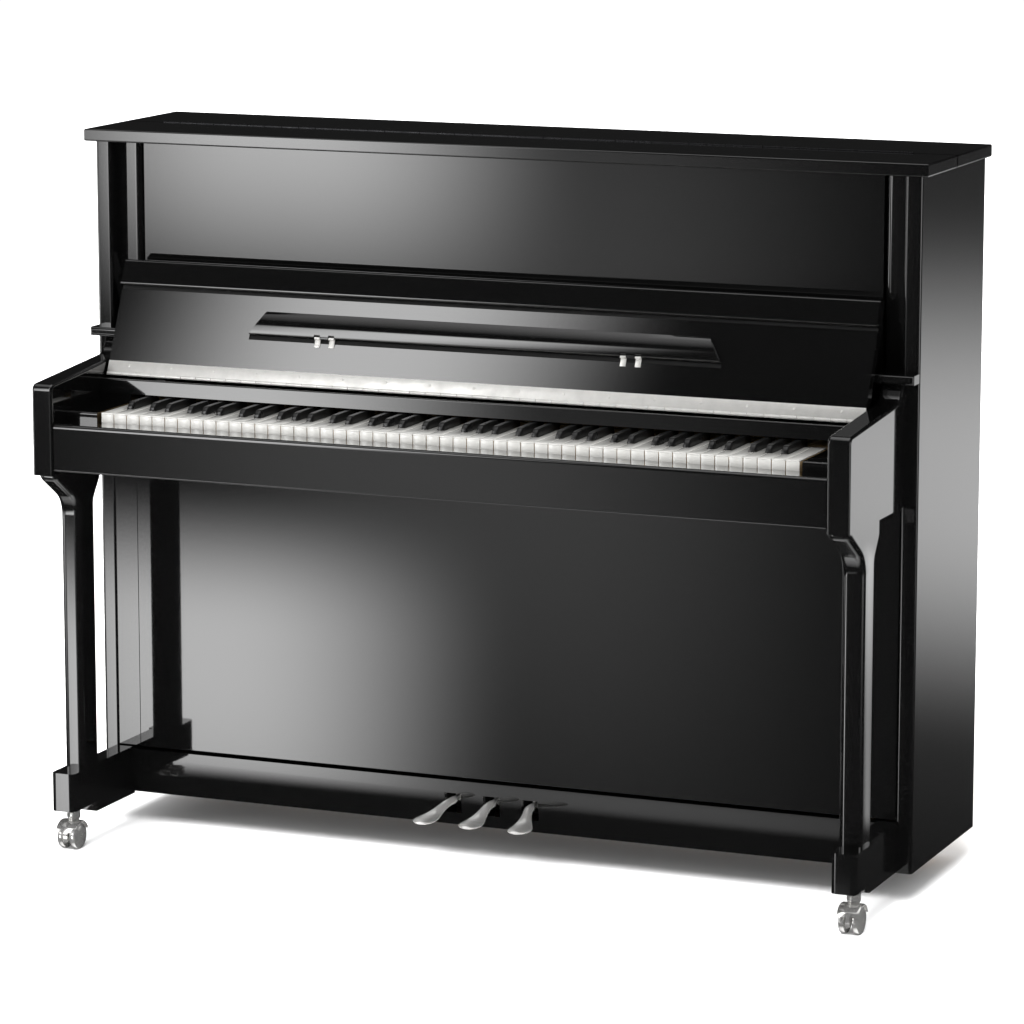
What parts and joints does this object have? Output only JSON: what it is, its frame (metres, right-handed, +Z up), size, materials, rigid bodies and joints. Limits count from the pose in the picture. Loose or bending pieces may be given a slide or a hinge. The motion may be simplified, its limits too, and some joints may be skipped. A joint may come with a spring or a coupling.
{
  "type": "upright piano",
  "caption": "Upright piano in polished black casework with opening lid, folding fallboard and music desk, rocking keys, pedals and casters.",
  "frame": {"origin": "on the floor under the middle of the bounding box", "axes": "+X to the player's right along the keyboard, -Y towards the player, +Z up"},
  "size_m": [1.496, 0.62, 1.21],
  "materials": {
    "black_polish": "high-gloss black polyester over board",
    "frame_wood": "plain beech, lightly sealed",
    "spruce": "varnished spruce",
    "key_white": "polished acrylic key tops on wooden sticks",
    "key_black": "satin black key caps on wooden sticks",
    "nickel": "polished nickel",
    "black_hinge": "blackened steel",
    "steel": "plain steel",
    "gold_iron": "bronze-gold paint on cast iron",
    "felt": "pressed wool felt on wooden carriers",
    "rubber_tread": "black rubber"
  },
  "bodies": {
    "case": {"side_panel_left": "black_polish", "side_panel_right": "black_polish", "arm_left": "black_polish", "arm_right": "black_polish", "leg_left": "black_polish", "leg_right": "black_polish", "toe_block_left": "black_polish", "toe_block_right": "black_polish", "pilasters": "black_polish", "lid_rear": "black_polish", "upper_panel": "black_polish", "bottom_rail": "black_polish", "key_slip": "black_polish", "key_blocks": "black_polish", "fallboard_rail": "black_polish", "bottom_board": "frame_wood", "keybed": "frame_wood", "key_frame": "frame_wood", "back_frame": "frame_wood", "action_frame": "frame_wood", "soundboard": "spruce", "lid_hinge": "black_hinge", "rear_caster_brackets": "steel", "tuning_pins": "steel", "strings": "steel", "iron_plate": "gold_iron"},
    "lid_front": {"lid_front": "black_polish"},
    "fallboard": {"fallboard": "black_polish", "fallboard_hinge": "nickel"},
    "music_desk": {"music_desk": "black_polish"},
    "lower_panel": {"lower_panel": "black_polish"},
    "hammers": {"hammers": "felt"},
    "dampers": {"dampers": "felt"},
    "muffler_rail": {"muffler_rail": "felt"},
    "keys_c": {"keys_c": "key_white"},
    "keys_c_sharp": {"keys_c_sharp": "key_black"},
    "keys_d": {"keys_d": "key_white"},
    "keys_d_sharp": {"keys_d_sharp": "key_black"},
    "keys_e": {"keys_e": "key_white"},
    "keys_f": {"keys_f": "key_white"},
    "keys_f_sharp": {"keys_f_sharp": "key_black"},
    "keys_g": {"keys_g": "key_white"},
    "keys_g_sharp": {"keys_g_sharp": "key_black"},
    "keys_a": {"keys_a": "key_white"},
    "keys_a_sharp": {"keys_a_sharp": "key_black"},
    "keys_b": {"keys_b": "key_white"},
    "pedal_left": {"pedal_left": "nickel"},
    "trap_lever_left": {"trap_lever_left": "frame_wood"},
    "pedal_rod_left": {"pedal_rod_left": "frame_wood"},
    "pedal_middle": {"pedal_middle": "nickel"},
    "trap_lever_middle": {"trap_lever_middle": "frame_wood"},
    "pedal_rod_middle": {"pedal_rod_middle": "frame_wood"},
    "pedal_right": {"pedal_right": "nickel"},
    "trap_lever_right": {"trap_lever_right": "frame_wood"},
    "pedal_rod_right": {"pedal_rod_right": "frame_wood"},
    "caster_fork_left": {"caster_fork_left": "nickel"},
    "caster_wheel_left": {"caster_wheel_left": "nickel"},
    "caster_fork_right": {"caster_fork_right": "nickel"},
    "caster_wheel_right": {"caster_wheel_right": "nickel"},
    "rear_caster_wheels": {"rear_caster_wheels": "rubber_tread"}
  },
  "joints": [
    {"name": "lid_opening", "type": "hinge", "parent": "case", "child": "lid_front", "pos_m": [0, 0.109, 1.208], "axis": [-1, 0, 0], "range_deg": [0, 172]},
    {"name": "fallboard_closing", "type": "hinge", "parent": "case", "child": "fallboard", "pos_m": [0, -0.118, 0.804], "axis": [1, 0, 0], "range_deg": [0, 125]},
    {"name": "music_desk_unfolding", "type": "hinge", "parent": "fallboard", "child": "music_desk", "pos_m": [0, -0.08896, 0.88028], "axis": [-1, 0, 0], "range_deg": [-100, 0]},
    {"name": "lower_panel_tilt", "type": "hinge", "parent": "case", "child": "lower_panel", "pos_m": [0, -0.035, 0.1395], "axis": [1, 0, 0], "range_deg": [0, 12]},
    {"name": "press_c", "type": "hinge", "parent": "case", "child": "keys_c", "pos_m": [0, -0.025, 0.738], "axis": [1, 0, 0], "range_deg": [0, 2.4], "stiffness_Nm_per_rad": 20, "springref_deg": -2.29},
    {"name": "press_c_sharp", "type": "hinge", "parent": "case", "child": "keys_c_sharp", "pos_m": [0, -0.025, 0.738], "axis": [1, 0, 0], "range_deg": [0, 2.4], "stiffness_Nm_per_rad": 20, "springref_deg": -2.29},
    {"name": "press_d", "type": "hinge", "parent": "case", "child": "keys_d", "pos_m": [0, -0.025, 0.738], "axis": [1, 0, 0], "range_deg": [0, 2.4], "stiffness_Nm_per_rad": 20, "springref_deg": -2.29},
    {"name": "press_d_sharp", "type": "hinge", "parent": "case", "child": "keys_d_sharp", "pos_m": [0, -0.025, 0.738], "axis": [1, 0, 0], "range_deg": [0, 2.4], "stiffness_Nm_per_rad": 20, "springref_deg": -2.29},
    {"name": "press_e", "type": "hinge", "parent": "case", "child": "keys_e", "pos_m": [0, -0.025, 0.738], "axis": [1, 0, 0], "range_deg": [0, 2.4], "stiffness_Nm_per_rad": 20, "springref_deg": -2.29},
    {"name": "press_f", "type": "hinge", "parent": "case", "child": "keys_f", "pos_m": [0, -0.025, 0.738], "axis": [1, 0, 0], "range_deg": [0, 2.4], "stiffness_Nm_per_rad": 20, "springref_deg": -2.29},
    {"name": "press_f_sharp", "type": "hinge", "parent": "case", "child": "keys_f_sharp", "pos_m": [0, -0.025, 0.738], "axis": [1, 0, 0], "range_deg": [0, 2.4], "stiffness_Nm_per_rad": 20, "springref_deg": -2.29},
    {"name": "press_g", "type": "hinge", "parent": "case", "child": "keys_g", "pos_m": [0, -0.025, 0.738], "axis": [1, 0, 0], "range_deg": [0, 2.4], "stiffness_Nm_per_rad": 20, "springref_deg": -2.29},
    {"name": "press_g_sharp", "type": "hinge", "parent": "case", "child": "keys_g_sharp", "pos_m": [0, -0.025, 0.738], "axis": [1, 0, 0], "range_deg": [0, 2.4], "stiffness_Nm_per_rad": 20, "springref_deg": -2.29},
    {"name": "press_a", "type": "hinge", "parent": "case", "child": "keys_a", "pos_m": [0, -0.025, 0.738], "axis": [1, 0, 0], "range_deg": [0, 2.4], "stiffness_Nm_per_rad": 20, "springref_deg": -2.29},
    {"name": "press_a_sharp", "type": "hinge", "parent": "case", "child": "keys_a_sharp", "pos_m": [0, -0.025, 0.738], "axis": [1, 0, 0], "range_deg": [0, 2.4], "stiffness_Nm_per_rad": 20, "springref_deg": -2.29},
    {"name": "press_b", "type": "hinge", "parent": "case", "child": "keys_b", "pos_m": [0, -0.025, 0.738], "axis": [1, 0, 0], "range_deg": [0, 2.4], "stiffness_Nm_per_rad": 20, "springref_deg": -2.29},
    {"name": "press_pedal_left", "type": "hinge", "parent": "case", "child": "pedal_left", "pos_m": [-0.07, 0.05, 0.101], "axis": [1, 0, 0], "range_deg": [0, 6], "stiffness_Nm_per_rad": 30, "springref_deg": -2.86},
    {"name": "trap_lever_left_rock", "type": "hinge", "parent": "case", "child": "trap_lever_left", "pos_m": [0.49, 0.11, 0.126], "axis": [0, 1, 0], "range_deg": [0, 0.693]},
    {"name": "pedal_rod_left_lift", "type": "slide", "parent": "case", "child": "pedal_rod_left", "axis": [0, 0, 1], "range_m": [0, 0.01353]},
    {"name": "press_pedal_middle", "type": "hinge", "parent": "case", "child": "pedal_middle", "pos_m": [0, 0.05, 0.101], "axis": [1, 0, 0], "range_deg": [0, 6], "stiffness_Nm_per_rad": 30, "springref_deg": -2.86},
    {"name": "trap_lever_middle_rock", "type": "hinge", "parent": "case", "child": "trap_lever_middle", "pos_m": [0.56, 0.128, 0.126], "axis": [0, 1, 0], "range_deg": [0, 0.886]},
    {"name": "pedal_rod_middle_lift", "type": "slide", "parent": "case", "child": "pedal_rod_middle", "axis": [0, 0, 1], "range_m": [0, 0.01827]},
    {"name": "press_pedal_right", "type": "hinge", "parent": "case", "child": "pedal_right", "pos_m": [0.07, 0.05, 0.101], "axis": [1, 0, 0], "range_deg": [0, 6], "stiffness_Nm_per_rad": 30, "springref_deg": -2.86},
    {"name": "trap_lever_right_rock", "type": "hinge", "parent": "case", "child": "trap_lever_right", "pos_m": [0.63, 0.146, 0.126], "axis": [0, 1, 0], "range_deg": [0, 1.08]},
    {"name": "pedal_rod_right_lift", "type": "slide", "parent": "case", "child": "pedal_rod_right", "axis": [0, 0, 1], "range_m": [0, 0.02339]},
    {"name": "hammer_half_blow", "type": "hinge", "parent": "case", "child": "hammers", "pos_m": [0, 0.099, 0.904], "axis": [-1, 0, 0], "range_deg": [0, 8.1]},
    {"name": "muffler_drop", "type": "slide", "parent": "case", "child": "muffler_rail", "axis": [0, 0, -1], "range_m": [0, 0.03]},
    {"name": "damper_lift", "type": "hinge", "parent": "case", "child": "dampers", "pos_m": [0, 0.125, 0.868], "axis": [1, 0, 0], "range_deg": [0, 4.1]},
    {"name": "caster_left_swivel", "type": "hinge", "parent": "case", "child": "caster_fork_left", "pos_m": [-0.698, -0.216, 0.06], "axis": [0, 0, 1], "continuous": true},
    {"name": "caster_left_roll", "type": "hinge", "parent": "caster_fork_left", "child": "caster_wheel_left", "pos_m": [-0.698, -0.2235, 0.023], "axis": [1, 0, 0], "continuous": true},
    {"name": "caster_right_swivel", "type": "hinge", "parent": "case", "child": "caster_fork_right", "pos_m": [0.698, -0.216, 0.06], "axis": [0, 0, 1], "continuous": true},
    {"name": "caster_right_roll", "type": "hinge", "parent": "caster_fork_right", "child": "caster_wheel_right", "pos_m": [0.698, -0.2235, 0.023], "axis": [1, 0, 0], "continuous": true},
    {"name": "rear_casters_roll", "type": "hinge", "parent": "case", "child": "rear_caster_wheels", "pos_m": [0, 0.262, 0.022], "axis": [1, 0, 0], "continuous": true}
  ],
  "couplings": [
    {"joint": "trap_lever_left_rock", "follows": "press_pedal_left", "ratio": 0.10714},
    {"joint": "pedal_rod_left_lift", "follows": "press_pedal_left", "m_per_rad": 0.12439},
    {"joint": "trap_lever_middle_rock", "follows": "press_pedal_middle", "ratio": 0.13929},
    {"joint": "pedal_rod_middle_lift", "follows": "press_pedal_middle", "m_per_rad": 0.16965},
    {"joint": "trap_lever_right_rock", "follows": "press_pedal_right", "ratio": 0.17143},
    {"joint": "pedal_rod_right_lift", "follows": "press_pedal_right", "m_per_rad": 0.21857},
    {"joint": "hammer_half_blow", "follows": "press_pedal_left", "ratio": 1.3333},
    {"joint": "muffler_drop", "follows": "press_pedal_middle", "m_per_rad": 0.28},
    {"joint": "damper_lift", "follows": "press_pedal_right", "ratio": 0.66667}
  ]
}
